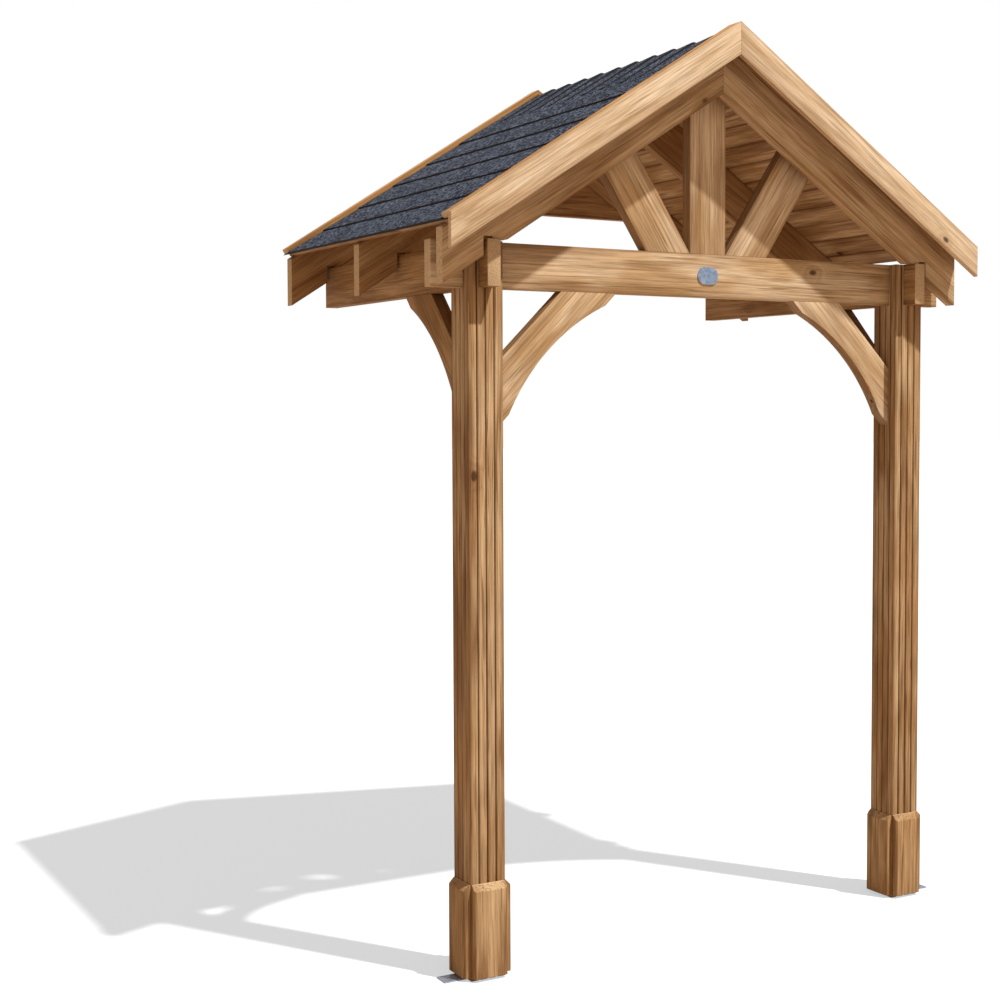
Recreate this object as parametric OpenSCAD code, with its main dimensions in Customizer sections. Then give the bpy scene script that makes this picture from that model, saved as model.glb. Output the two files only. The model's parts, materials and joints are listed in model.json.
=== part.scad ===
// Gabled timber porch canopy that stands on two front posts and is fixed to a house wall behind.
// Millimetres. +Z is up, +X is to the right seen from the front, +Y goes into the wall.
// The origin is the middle of the wall board's back face, which lies on the wall.

/* [Overall] */
// Distance between the centre lines of the two posts
post_span = 1713; // [1200:1:2600]
// Height of the top of the tie beam and the side plates above the ground
plate_height = 2320; // [1900:1:2800]
// Length of a side plate from the wall to its front end
plate_length = 1344; // [900:1:2000]
// Slope of the roof in degrees
roof_pitch = 33; // [25:0.5:42]

/* [Timber sections] */
// Depth of the beams, rafters and braces
beam_depth = 145; // [110:1:180]
// Thickness of the beams, rafters and braces
beam_thick = 45; // [35:1:55]
// Width and depth of a square post
post_size = 120; // [100:1:170]

/* [Posts] */
// Distance that a side plate runs past the front face of its post
plate_reach = 61; // [57:1:90]
// Distance that the tie beam runs past the outer face of each post
tie_reach = 108.5; // [40:0.5:150]
// Number of grooves in each face of a post
flute_count = 3; // [1:1:4]
// Width of a groove at the surface
flute_width = 9; // [4:0.5:14]
// Depth of a groove
flute_depth = 5.5; // [2:0.5:8]
// Gap left at each side of a beam in its slot or halving joint
joint_gap = 0.5; // [0.2:0.1:2]

/* [Plinths] */
// Height of the top of the plinth boards above the ground
plinth_top = 308; // [150:1:500]
// Thickness of a plinth board
plinth_board = 23; // [18:1:35]
// Gap under the plinth boards
plinth_lift = 10; // [8:1:25]
// Width of the sloping face along the top of a plinth board
plinth_chamfer = 20; // [5:1:22]
// Width of the bevel on the upright edges of a plinth board
plinth_bevel = 5; // [2:0.5:8]
// Distance that a plinth board stops short of each corner of the post
plinth_inset = 2; // [0:0.5:12]

/* [Foot brackets] */
// Width of a foot bracket
bracket_width = 60; // [30:1:80]
// Length of the leaf on the ground, from the face of the post
bracket_leaf = 78; // [55:1:110]
// Height of the leaf against the post
bracket_height = 90; // [50:1:130]
// Thickness of the steel
bracket_thick = 4; // [3:0.5:6]
// Diameter of the anchor hole in the leaf on the ground
anchor_hole = 12; // [8:0.5:16]
// Distance from the end of the leaf to the centre of the anchor hole
anchor_edge = 20; // [14:1:22]
// Clearance around a bracket where a plinth board is cut to go over it
bracket_gap = 1; // [0.5:0.5:3]

/* [Braces] */
// Length of a brace along its beam and down its post
brace_leg = 435; // [350:1:520]
// Length of the straight nose at each end of the hollow edge
brace_nose = 57; // [20:1:90]
// Width left at the middle of a brace
brace_waist = 100; // [75:1:105]

/* [King post and struts] */
// Width of the king post
king_width = 145; // [90:1:180]
// Width of a strut
strut_width = 145; // [90:1:150]

/* [Rafters] */
// Horizontal distance that a rafter runs past the outer face of the post
rafter_tail = 111.5; // [60:0.5:180]
// Gap between the back of the front rafters and the front of the posts
rafter_gap = 10; // [2:1:12]
// Distance from the wall to the front face of the middle rafters
mid_rafter = 686; // [400:1:800]
// Length of the level seat of a rafter, from the outer face of the side plate
seat_length = 72; // [50:1:90]
// Gap between the upright cut of a rafter and the side plate
heel_gap = 10; // [2:1:14]
// Height of the relief above the outer part of the seat
relief_height = 8; // [2:1:12]
// Length of the part of the side plate under the relief
relief_length = 22; // [8:1:30]
// Height of the lower edge of the wall board above the side plates
wall_board_rise = 251; // [150:1:300]

/* [Roof] */
// Thickness of the roof boards
deck_thick = 18; // [12:1:25]
// Horizontal distance that the roof boards run past the outer face of the post
deck_tail = 98; // [50:1:170]
// Distance from the front rafters to the back of the barge boards
front_overhang = 81; // [50:1:160]
// Thickness of the felt under the shingles
felt_thick = 2; // [1:0.5:4]
// Distance that the felt and the lowest shingles run past the roof boards
drip_length = 20; // [5:1:40]
// Number of shingle courses on each slope
course_count = 6; // [4:1:8]
// Gap left between a course of shingles and the next one up
course_gap = 0.5; // [0.3:0.1:2]
// Thickness of a course of shingles at its lower edge
shingle_step = 8; // [3:0.5:12]
// Distance from the ridge to the lower edge of a ridge tile, along the slope
cap_wing = 236; // [140:1:280]
// Thickness of the ridge tiles
cap_thick = 6; // [3:0.5:9]
// Radius of the bend of the ridge tiles along the ridge, where the boards leave room for it
cap_radius = 20; // [10:1:40]
// Distance from the ridge to the upper edge of the felt, along the slope
felt_gap = 35; // [10:1:80]

/* [Barge boards and verge battens] */
// Depth of a barge board
barge_depth = 90; // [70:1:150]
// Thickness of a barge board
barge_thick = 20; // [16:1:30]
// Width of a verge batten
verge_width = 50; // [35:1:80]
// Thickness of a verge batten
verge_thick = 18; // [14:1:28]
// Horizontal distance that the barge boards run past the outer face of the post
barge_tail = 130.5; // [80:0.5:200]

/* [Badge] */
// Width of the badge
badge_width = 74; // [40:1:110]
// Height of the badge
badge_height = 60; // [40:1:100]
// Thickness of the badge
badge_thick = 4; // [2:0.5:8]

/* [Hidden] */
$fn = 96;

oak = [0.72, 0.53, 0.33];
oak_dark = [0.60, 0.42, 0.25];
slate = [0.27, 0.30, 0.36];
bitumen = [0.08, 0.08, 0.09];
zinc = [0.55, 0.62, 0.72];

run = tan(roof_pitch);
cosp = cos(roof_pitch);
sinp = sin(roof_pitch);

// Heights. The origin is at half the depth of the wall board.
ground = -(plate_height + wall_board_rise + beam_depth / 2);
plate_top = ground + plate_height;
plate_base = plate_top - beam_depth;
board_base = plate_top + wall_board_rise;

// Places across the front and from front to back
post_x = post_span / 2;
post_out = post_x + post_size / 2;
plate_out = post_x + beam_thick / 2;
post_front = -plate_length + plate_reach;
post_y = post_front + post_size / 2;
post_back = post_front + post_size;
rafter_front = post_front - rafter_gap - beam_thick;
barge_back = rafter_front - front_overhang;
barge_front = barge_back - barge_thick;

// Roof lines at the ridge: underside of the rafters, underside of the roof boards
rafter_low = plate_top + (plate_out - seat_length) * run;
rafter_high = rafter_low + beam_depth / cosp;
// Ends of the roof along the slope, from the ridge
deck_end = (post_out + deck_tail) / cosp;
felt_end = deck_end + drip_length;
felt_top = deck_thick + felt_thick;
butt_top = felt_top + shingle_step;
verge_top = felt_top + verge_thick;
verge_end = (post_out + barge_tail - verge_top * sinp) / cosp;
course_step = (felt_end - cap_wing) / course_count;
// Height square off the rafters at which the upper edge of a course lies
course_feather = 0.5;
course_low = felt_top + course_feather;

// Distance that a cut runs past the faces it opens
past = 1;

// Point on the right slope: s along the slope from the ridge, h square off the rafters' top
function slope(s, h) = [s * cosp + h * sinp, rafter_high - s * sinp + h * cosp];
// Point of the plumb cut at the ridge, h square off the rafters' top
function ridge(h) = [0, rafter_high + h / cosp];

// An outline in X and Z carried from y0 to y1
module front_plate(y0, y1) {
  translate([0, y1, 0]) rotate([90, 0, 0]) linear_extrude(y1 - y0) children();
}

// The right half as drawn, or its mirror image on the left
module hand(left) {
  if (left) mirror([1, 0, 0]) children(); else children();
}

// Section of a V groove in the face along X, its sides carried on past the face
module flute() {
  rise = past * flute_depth / (flute_width / 2);
  polygon([[-flute_width / 2 - past, -rise], [flute_width / 2 + past, -rise], [0, flute_depth]]);
}

// Square post with grooved faces; its head is slotted for the tie beam and the side plate
module post(left) {
  slot = beam_thick + 2 * joint_gap;
  pitch = post_size / (flute_count + 1);
  half = post_size / 2;
  hand(left) color(oak) translate([post_x, post_y, 0]) difference() {
    translate([-half, -half, ground]) cube([post_size, post_size, plate_height]);
    translate([-half - past, -slot / 2, plate_base])
      cube([post_size + 2 * past, slot, beam_depth + past]);
    translate([-slot / 2, -half - past, plate_base])
      cube([slot, post_size + 2 * past, beam_depth + past]);
    for (turn = [0:90:270], k = [1:flute_count])
      rotate([0, 0, turn]) translate([-half + k * pitch, -half, ground - past])
        linear_extrude(plate_height + 2 * past) flute();
  }
}

// Plinth board against one face of a post, drawn on the front face and turned about the post
module plinth(left, turn, over_bracket) {
  half = post_size / 2;
  w = post_size - 2 * plinth_inset;
  h = plinth_top - plinth_lift;
  hand(left) color(oak_dark) translate([post_x, post_y, ground]) rotate([0, 0, turn]) difference() {
    translate([-w / 2, -half - plinth_board, plinth_lift]) cube([w, plinth_board, h]);
    translate([-w / 2 - past, -half - plinth_board, plinth_top - plinth_chamfer])
      rotate([90, 0, 90]) linear_extrude(w + 2 * past)
        polygon([[0, 0], [plinth_chamfer + past, plinth_chamfer + past],
                 [-past, plinth_chamfer + past], [-past, 0]]);
    for (side = [-1, 1])
      translate([side * w / 2, -half - plinth_board, 0]) linear_extrude(plinth_top + past)
        polygon([[-side * plinth_bevel, 0], [side * past, plinth_bevel + past],
                 [side * past, -past], [-side * plinth_bevel, -past]]);
    if (over_bracket)
      translate([-bracket_width / 2 - bracket_gap, -half - bracket_thick - bracket_gap, 0])
        cube([bracket_width + 2 * bracket_gap, bracket_thick + bracket_gap + past,
              bracket_height + bracket_gap]);
  }
}

// Steel angle at the foot of a post: one leaf against the post, one on the ground
module foot_bracket(left) {
  hand(left) color(zinc) translate([post_out, post_y, ground]) difference() {
    union() {
      translate([0, -bracket_width / 2, 0]) cube([bracket_leaf, bracket_width, bracket_thick]);
      translate([0, -bracket_width / 2, 0]) cube([bracket_thick, bracket_width, bracket_height]);
    }
    translate([bracket_leaf - anchor_edge, 0, -past])
      cylinder(d = anchor_hole, h = bracket_thick + 2 * past);
  }
}

// Beam across the front, halved from above where the side plates cross it
module tie_beam() {
  half = post_out + tie_reach;
  cut = beam_thick + 2 * joint_gap;
  color(oak) difference() {
    translate([-half, post_y - beam_thick / 2, plate_base]) cube([2 * half, beam_thick, beam_depth]);
    for (x = [-post_x, post_x])
      translate([x - cut / 2, post_y - beam_thick / 2 - past, plate_base + beam_depth / 2])
        cube([cut, beam_thick + 2 * past, beam_depth / 2 + past]);
  }
}

// Beam from the wall over a post, halved from below where the tie beam crosses it
module side_plate(left) {
  cut = beam_thick + 2 * joint_gap;
  hand(left) color(oak_dark) difference() {
    translate([post_x - beam_thick / 2, -plate_length, plate_base])
      cube([beam_thick, plate_length, beam_depth]);
    translate([post_x - beam_thick / 2 - past, post_y - cut / 2, plate_base - past])
      cube([beam_thick + 2 * past, cut, beam_depth / 2 + past]);
  }
}

// Outline of a curved brace: the corner of beam and post at 0, X away from the post, Y up
module brace_outline() {
  inner = brace_leg - beam_depth * sqrt(2);
  chord = brace_leg / sqrt(2) - brace_nose;
  hollow = beam_depth - brace_waist;
  radius = (chord * chord + hollow * hollow) / (2 * hollow);
  middle = brace_leg / 2 + (radius - hollow) / sqrt(2);
  difference() {
    polygon([[inner, 0], [brace_leg, 0], [0, -brace_leg], [0, -inner]]);
    translate([middle, -middle]) circle(r = radius, $fn = 240);
  }
}

// Brace between a post and the tie beam
module front_brace(left) {
  hand(left) color(oak) front_plate(post_y - beam_thick / 2, post_y + beam_thick / 2)
    translate([post_x - post_size / 2, plate_base]) mirror([1, 0]) brace_outline();
}

// Brace between a post and its side plate
module side_brace(left) {
  hand(left) color(oak_dark) translate([post_x - beam_thick / 2, post_back, plate_base])
    rotate([90, 0, 90]) linear_extrude(beam_thick) brace_outline();
}

// Upright on the middle of the tie beam, cut to the underside of the roof boards
module king_post() {
  half = king_width / 2;
  color(oak) front_plate(post_y - beam_thick / 2, post_y + beam_thick / 2)
    polygon([[-half, plate_top], [half, plate_top], [half, rafter_high - half * run],
             [0, rafter_high], [-half, rafter_high - half * run]]);
}

// Strut from the foot of the king post, square to the slope that it carries
module strut(left) {
  x0 = king_width / 2;
  x1 = x0 + strut_width / cosp;
  t0 = (rafter_high - plate_top - x0 * run) * cosp;
  t1 = (rafter_high - plate_top - x1 * run) * cosp;
  hand(left) color(oak) front_plate(post_y - beam_thick / 2, post_y + beam_thick / 2)
    polygon([[x0, plate_top], [x1, plate_top], [x1 + t1 * sinp, plate_top + t1 * cosp],
             [x0 + t0 * sinp, plate_top + t0 * cosp]]);
}

// Rafter notched over the side plate, with plumb cuts at the ridge and the tail
module rafter(left, y) {
  tail = post_out + rafter_tail;
  hand(left) color(oak) front_plate(y, y + beam_thick) difference() {
    polygon([[0, rafter_low], [tail, rafter_low - tail * run],
             [tail, rafter_high - tail * run], [0, rafter_high]]);
    translate([plate_out - seat_length - beam_depth, plate_top - 2 * beam_depth])
      square([seat_length + beam_depth + heel_gap, 2 * beam_depth]);
    translate([plate_out - relief_length, plate_top - past])
      square([relief_length + heel_gap, relief_height + past]);
  }
}

// Board between the rear rafters, cut to their undersides; its back lies on the wall
module wall_board() {
  color(oak_dark) front_plate(-beam_thick, 0) intersection() {
    translate([-post_out, board_base]) square([2 * post_out, beam_depth]);
    polygon([[-post_out, rafter_low - post_out * run], [post_out, rafter_low - post_out * run],
             [0, rafter_low]]);
  }
}

// Roof boards of one slope, as one slab
module deck(left) {
  hand(left) color(oak) front_plate(barge_back, 0)
    polygon([ridge(0), slope(deck_end, 0), slope(deck_end, deck_thick), ridge(deck_thick)]);
}

// Sheet of felt on the boards of a slope
module felt(left) {
  hand(left) color(bitumen) front_plate(barge_back, 0)
    polygon([slope(felt_gap, deck_thick), slope(felt_end, deck_thick), slope(felt_end, felt_top),
             slope(felt_gap, felt_top)]);
}

// Shingle courses of a slope between its verge battens; the top one runs on under the ridge tiles
module shingles(left) {
  hand(left) color(slate) for (k = [0:course_count - 1]) {
    low = felt_end - k * course_step;
    high = low - course_step;
    top = k == course_count - 1 ? felt_gap : high + course_gap;
    front_plate(barge_back + verge_width, -verge_width)
      polygon([slope(top, felt_top), slope(low, felt_top), slope(low, butt_top),
               slope(max(top, high), course_low), slope(top, course_low)]);
  }
}

// Bent ridge tiles in one piece, over the top course of each slope
module ridge_cap() {
  // largest inner radius that stays above the boards at the ridge, and the share of it that is used
  room = (course_low - deck_thick) / (1 - cosp);
  room_used = 0.9;
  inside = min(cap_radius - cap_thick, room_used * room);
  bend = inside + cap_thick;
  high = course_low + cap_thick;
  // centre of the bend, which the faces of both wings are tangent to
  centre = rafter_high + (high - bend) / cosp;
  wing = [slope(cap_wing, course_low), slope(cap_wing, high),
          [bend * sinp, centre + bend * cosp]];
  color(slate) front_plate(barge_back + verge_width, -verge_width) difference() {
    union() {
      polygon(concat(wing, [for (k = [2:-1:0]) [-wing[k][0], wing[k][1]]],
        [[-inside * sinp, centre + inside * cosp], [inside * sinp, centre + inside * cosp]]));
      intersection() {
        translate([0, centre]) circle(r = bend, $fn = 180);
        translate([-bend, centre + bend * cosp - past]) square([2 * bend, bend]);
      }
    }
    translate([0, centre]) circle(r = inside, $fn = 180);
  }
}

// Board that hangs from the front edge of the roof boards, with plumb cuts
module barge(left) {
  tail = post_out + barge_tail;
  hand(left) color(oak) front_plate(barge_front, barge_back)
    polygon([ridge(verge_top - barge_depth), ridge(verge_top),
             [tail, rafter_high + verge_top / cosp - tail * run],
             [tail, rafter_high + (verge_top - barge_depth) / cosp - tail * run]]);
}

// Batten over the edge of the felt, from y0 to y1
module verge(left, y) {
  hand(left) color(oak) front_plate(y, y + verge_width)
    polygon([ridge(felt_top), slope(verge_end, felt_top), slope(verge_end, verge_top),
             ridge(verge_top)]);
}

// Plain oval plate on the middle of the tie beam
module badge() {
  color(zinc) translate([0, post_y - beam_thick / 2, plate_base + beam_depth / 2])
    rotate([90, 0, 0]) scale([badge_width / badge_height, 1, 1])
      cylinder(d = badge_height, h = badge_thick);
}

post(true);  // post_left
post(false);  // post_right
plinth(true, 0, false);  // plinth_left_front
plinth(true, 180, false);  // plinth_left_back
plinth(true, 90, true);  // plinth_left_outer
plinth(true, 270, false);  // plinth_left_inner
plinth(false, 0, false);  // plinth_right_front
plinth(false, 180, false);  // plinth_right_back
plinth(false, 90, true);  // plinth_right_outer
plinth(false, 270, false);  // plinth_right_inner
foot_bracket(true);  // foot_bracket_left
foot_bracket(false);  // foot_bracket_right
tie_beam();
side_plate(true);  // side_plate_left
side_plate(false);  // side_plate_right
front_brace(true);  // front_brace_left
front_brace(false);  // front_brace_right
side_brace(true);  // side_brace_left
side_brace(false);  // side_brace_right
king_post();
strut(true);  // strut_left
strut(false);  // strut_right
rafter(true, rafter_front);  // rafter_front_left
rafter(false, rafter_front);  // rafter_front_right
rafter(true, -mid_rafter);  // rafter_mid_left
rafter(false, -mid_rafter);  // rafter_mid_right
rafter(true, -beam_thick);  // rafter_rear_left
rafter(false, -beam_thick);  // rafter_rear_right
wall_board();
deck(true);  // deck_left
deck(false);  // deck_right
felt(true);  // felt_left
felt(false);  // felt_right
shingles(true);  // shingles_left
shingles(false);  // shingles_right
ridge_cap();
barge(true);  // barge_left
barge(false);  // barge_right
verge(true, barge_back);  // verge_front_left
verge(false, barge_back);  // verge_front_right
verge(true, -verge_width);  // verge_rear_left
verge(false, -verge_width);  // verge_rear_right
badge();
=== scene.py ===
"""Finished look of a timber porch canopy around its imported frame.

Laid out as an add-on: the sizes and colours are properties, each piece or group of like pieces has its
operator, and main() calls them in order. Lengths are metres, +Z is up and +Y goes into the house wall.
"""

import json
import math
import random

import bmesh
import bpy
from bpy.props import FloatProperty, FloatVectorProperty, PointerProperty
from mathutils import Matrix, Vector

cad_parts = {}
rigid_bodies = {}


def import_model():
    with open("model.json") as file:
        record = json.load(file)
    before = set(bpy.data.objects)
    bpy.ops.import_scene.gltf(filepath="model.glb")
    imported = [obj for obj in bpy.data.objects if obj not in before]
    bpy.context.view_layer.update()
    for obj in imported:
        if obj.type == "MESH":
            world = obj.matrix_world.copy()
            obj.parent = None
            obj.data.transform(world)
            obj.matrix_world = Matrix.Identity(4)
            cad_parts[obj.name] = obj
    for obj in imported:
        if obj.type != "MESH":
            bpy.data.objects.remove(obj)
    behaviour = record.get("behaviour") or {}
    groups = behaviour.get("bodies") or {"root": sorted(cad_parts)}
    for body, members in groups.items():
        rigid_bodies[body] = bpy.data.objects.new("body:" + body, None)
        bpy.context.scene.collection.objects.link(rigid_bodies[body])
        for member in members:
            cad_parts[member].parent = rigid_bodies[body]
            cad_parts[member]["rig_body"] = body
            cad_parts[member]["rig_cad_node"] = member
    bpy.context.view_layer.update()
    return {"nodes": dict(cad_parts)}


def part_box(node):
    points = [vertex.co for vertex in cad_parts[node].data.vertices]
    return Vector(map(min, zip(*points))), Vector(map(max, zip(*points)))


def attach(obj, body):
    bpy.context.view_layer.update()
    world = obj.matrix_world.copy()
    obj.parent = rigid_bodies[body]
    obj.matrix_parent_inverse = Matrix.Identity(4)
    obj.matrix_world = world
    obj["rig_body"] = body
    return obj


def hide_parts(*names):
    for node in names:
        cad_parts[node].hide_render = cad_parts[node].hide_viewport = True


bl_info = {
    "name": "Porch Canopy Finish",
    "version": (1, 0, 0),
    "blender": (4, 5, 0),
    "location": "View3D > Sidebar > Porch Canopy",
    "description": "Planed timber, felt shingles and fittings for a gabled porch canopy",
    "category": "Add Mesh",
}

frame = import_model()

MM = 0.001
NEAR = 0.1 * MM  # two places this close count as one
MERGE = 0.02 * MM  # corners this close are joined
WAVE = 50 * MM  # distance between the strays of a shingle strip's lower edge
UP = Vector((0, 0, 1))
SIDEWAYS = Vector((1, 0, 0))
INWARDS = Vector((0, 1, 0))
SEED = 1907


# ---- sizes read from the frame


def corners(node):
    """Places of a CAD node's corners."""
    return [v.co.copy() for v in frame["nodes"][node].data.vertices]


def slope_frame():
    """(point at the ridge, direction down the right slope) of the underside of the roof boards."""
    deck = corners("deck_right")
    ridge_line = [p for p in deck if abs(p.x) < NEAR]
    top = min(ridge_line, key=lambda p: p.z)
    eave = min(deck, key=lambda p: p.z)
    start = Vector((0, 0, top.z))
    return start, (Vector((eave.x, 0, eave.z)) - start).normalized()


RIDGE, DOWN = slope_frame()
OFF = Vector((-DOWN.z, 0, DOWN.x))
PITCH = math.atan2(-DOWN.z, DOWN.x)


def on_slope(point):
    """(distance from the ridge down its slope, height square off the rafters) of a point."""
    away = Vector((abs(point.x), 0, point.z)) - RIDGE
    return away.dot(DOWN), away.dot(OFF)


def slope_range(node):
    """(least distance, most distance, least height, most height) of a node on its slope."""
    places = [on_slope(p) for p in corners(node)]
    distances, heights = zip(*places)
    return min(distances), max(distances), min(heights), max(heights)


def course_edges():
    """Distances from the ridge of the lower edges of the shingle courses, from the eaves up."""
    top = slope_range("shingles_right")[3]
    edges = sorted({round(s, 4) for s, h in map(on_slope, corners("shingles_right")) if h > top - NEAR})
    return edges[::-1]


# ---- properties


def colour(name, description, default):
    return FloatVectorProperty(
        name=name, description=description, subtype="COLOR", size=3, min=0, max=1, default=default
    )


def vector(name, description, default):
    return FloatVectorProperty(name=name, description=description, subtype="XYZ", default=default)


def amount(name, description, default, **limits):
    return FloatProperty(name=name, description=description, default=default, **limits)


def length(name, description, default):
    return amount(name, description, default, unit="LENGTH", precision=4)


def angle(name, description, degrees):
    return amount(name, description, math.radians(degrees), subtype="ANGLE")


class PorchTimberSettings(bpy.types.PropertyGroup):
    ease: length("Eased edge", "Width of the small bevel along the edges of a timber", 1.6 * MM)
    ring: length("Ring width", "Distance between growth rings", 9 * MM)
    relief: length("Seat relief", "Height of the relief over the seat of a rafter", 8 * MM)
    relief_reach: length("Relief length", "Part of the side plate that the relief covers", 22 * MM)
    heel: length("Heel gap", "Gap between a side plate and the upright cut of a rafter", 10 * MM)
    recess: length("Shade recess", "How far a packer stands back from the faces of its rafter", 7 * MM)
    hole: length("Screw hole", "Diameter of the sunk hole in a brace", 20 * MM)
    hole_depth: length("Screw hole depth", "Depth of the sunk hole in a brace", 20 * MM)
    hole_edge: length("Screw hole place", "Distance from the lower end of a brace to its hole", 102 * MM)
    cream: colour("Cream", "Palest wood, in the sunlit barge boards", (0.80, 0.63, 0.43))
    honey: colour("Honey", "Body colour of the beams", (0.56, 0.375, 0.195))
    amber: colour("Amber", "Body colour of the posts", (0.38, 0.212, 0.086))
    orange: colour("Orange", "Body colour of the verge battens", (0.72, 0.385, 0.14))
    russet: colour("Russet", "Darker streaks", (0.19, 0.085, 0.027))
    umber: colour("Umber", "Knots and the darkest lines", (0.06, 0.022, 0.008))


class PorchRoofSettings(bpy.types.PropertyGroup):
    board_cover: length("Board cover", "Width that one roof board covers", 95.5 * MM)
    first_joint: length("First joint", "Distance from the ridge to the first joint of the boards", 85.5 * MM)
    board_vee: length("Board vee", "Width of the bevel along the lower edges of a roof board", 3.5 * MM)
    board_gap: length("Board gap", "Gap between roof boards", 0.6 * MM)
    strip: length("Shingle strip", "Length of one strip of shingles", 1.0)
    strip_gap: length("Strip gap", "Gap between the ends of two strips", 1.2 * MM)
    strip_butt: length("Strip butt", "Thickness of a strip at its lower edge", 6 * MM)
    strip_thin: length("Strip feather", "Thickness of a strip at its upper edge", 0.8 * MM)
    strip_wave: length("Strip wave", "Most that the lower edge of a strip strays", 0.7 * MM)
    tile_step: length("Ridge tile step", "Length of a ridge tile that shows", 122.9 * MM)
    tile_rear: length("Last ridge tile", "Distance from the wall to the front of the last tile", 180 * MM)
    tile_lap: length("Ridge tile lap", "Length of a ridge tile under the next one", 12 * MM)
    tile_fold: length("Ridge tile fold", "Width of the rounding along the fold of a ridge tile", 11 * MM)
    tile_thin: length("Ridge tile edge", "Thickness of a ridge tile where the next one covers it", 1 * MM)
    tile_butt: length("Ridge tile butt", "Thickness of a ridge tile at its front edge", 9 * MM)
    granule: colour("Granules", "Body colour of the mineral granules", (0.026, 0.037, 0.061))
    granule_light: colour("Light granules", "Palest granules", (0.165, 0.215, 0.305))
    granule_dark: colour("Dark granules", "Darkest granules", (0.006, 0.007, 0.012))


class PorchMetalSettings(bpy.types.PropertyGroup):
    bend: length("Bend", "Outer radius of the bend of a foot bracket", 3.5 * MM)
    rim: length("Badge rim", "Width of the raised rim of the badge", 4.5 * MM)
    badge_wide: length("Badge width", "How much wider than its node the badge is", 7 * MM)
    badge_low: length("Badge height", "How much lower than its node the badge is", 2 * MM)
    field_deep: length("Badge field", "Depth of the field inside the rim", 1.2 * MM)
    field_edge: length("Badge border", "Width of the border inside the rim", 6 * MM)
    field_rise: length("Badge middle", "Height of the middle over the border", 0.6 * MM)
    pin: length("Badge pin", "Diameter of the two pins of the badge", 5 * MM)
    zinc: colour("Zinc", "Galvanised steel", (0.44, 0.58, 0.82))
    plate: colour("Plate", "Satin plate of the badge", (0.31, 0.48, 0.85))


class PorchStageSettings(bpy.types.PropertyGroup):
    sun: amount("Sun", "Strength of the key light", 3.8, min=0)
    sky: amount("Sky", "Strength of the soft fill light", 0.39, min=0)
    floor: amount("Floor", "Share of the light that the floor sends back", 0.54, min=0, max=1)
    glow: amount("Floor glow", "Light that whitens the floor in view", 0.563, min=0)
    softness: angle("Softness", "Angle that the key light fills", 1.4)
    key: vector("Key direction", "Direction of the key light", (-0.311, 0.523, -1))
    eye: vector("Camera", "Place of the camera", (-3.1944, -5.9502, -0.8406))
    turn: angle("Turn", "Turn of the camera to the right", 31.781)
    tilt: angle("Tilt", "Tilt of the camera down", 2.855)
    lens: amount("Lens", "Focal length in millimetres", 60.147, min=1)
    shift_x: amount("Shift X", "Sideways shift of the frame", -0.1374)
    shift_y: amount("Shift Y", "Upright shift of the frame", -0.0091)


# ---- modelling helpers


def only(*objects):
    """Selects these objects and nothing else; the last is active."""
    bpy.ops.object.select_all(action="DESELECT")
    for o in objects:
        o.select_set(True)
    bpy.context.view_layer.objects.active = objects[-1]


def edit(piece, kind="EDGE"):
    """Opens the piece in edit mode with nothing selected and returns its mesh."""
    only(piece)
    bpy.ops.object.mode_set(mode="EDIT")
    bpy.ops.mesh.select_mode(type=kind)
    bpy.ops.mesh.select_all(action="DESELECT")
    return bmesh.from_edit_mesh(piece.data)


def pick(piece, items, test):
    """Selects the items of an open mesh that pass the test, and says how many there are."""
    bpy.ops.mesh.select_all(action="DESELECT")
    chosen = [item for item in items if test(item)]
    for item in chosen:
        item.select_set(True)
    bmesh.update_edit_mesh(piece.data)
    return len(chosen)


def close():
    bpy.ops.object.mode_set(mode="OBJECT")


def settle():
    """Writes the active object's place, turn and scale into its mesh."""
    bpy.ops.object.transform_apply(location=True, rotation=True, scale=True)


def added(name, operator, **settings):
    """Object that an operator adds, with this name."""
    bpy.ops.object.select_all(action="DESELECT")
    operator(**settings)
    item = bpy.context.active_object
    item.name = name
    return item


def block(name, low, high):
    """Box between two corners, with its place in its mesh."""
    low, high = Vector(low), Vector(high)
    piece = added(name, bpy.ops.mesh.primitive_cube_add, size=1, location=(low + high) / 2)
    piece.scale = high - low
    settle()
    return piece


def rod(name, start, end, diameter, sides=24):
    """Closed cylinder from start to end."""
    start, end = Vector(start), Vector(end)
    span = end - start
    add = bpy.ops.mesh.primitive_cylinder_add
    piece = added(name, add, vertices=sides, radius=diameter / 2, depth=span.length)
    turned = span.to_track_quat("Z", "Y").to_matrix().to_4x4()
    piece.matrix_world = Matrix.Translation((start + end) / 2) @ turned
    settle()
    return piece


def joined(name, parts):
    only(*parts)
    bpy.ops.object.join()
    piece = bpy.context.active_object
    piece.name = name
    piece.data.name = name
    return piece


def face_out():
    """Turns every face of the open mesh outward."""
    bpy.ops.mesh.select_all(action="SELECT")
    bpy.ops.mesh.normals_make_consistent(inside=False)


def sharp(edge, least=math.radians(20)):
    return len(edge.link_faces) == 2 and edge.calc_face_angle(0) > least


def ease_edges(piece, width, segments=2):
    """Bevels every sharp edge of the piece."""
    mesh = edit(piece)
    if pick(piece, mesh.edges, sharp):
        bpy.ops.mesh.bevel(offset=width, segments=segments, affect="EDGES", clamp_overlap=True)
        # where two eased edges meet on a narrow face, what is left of it has no width
        bpy.ops.mesh.select_all(action="SELECT")
        bpy.ops.mesh.remove_doubles(threshold=MERGE)
    close()


def smooth(piece, angle=math.radians(35)):
    only(piece)
    bpy.ops.object.shade_smooth_by_angle(angle=angle)


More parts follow.
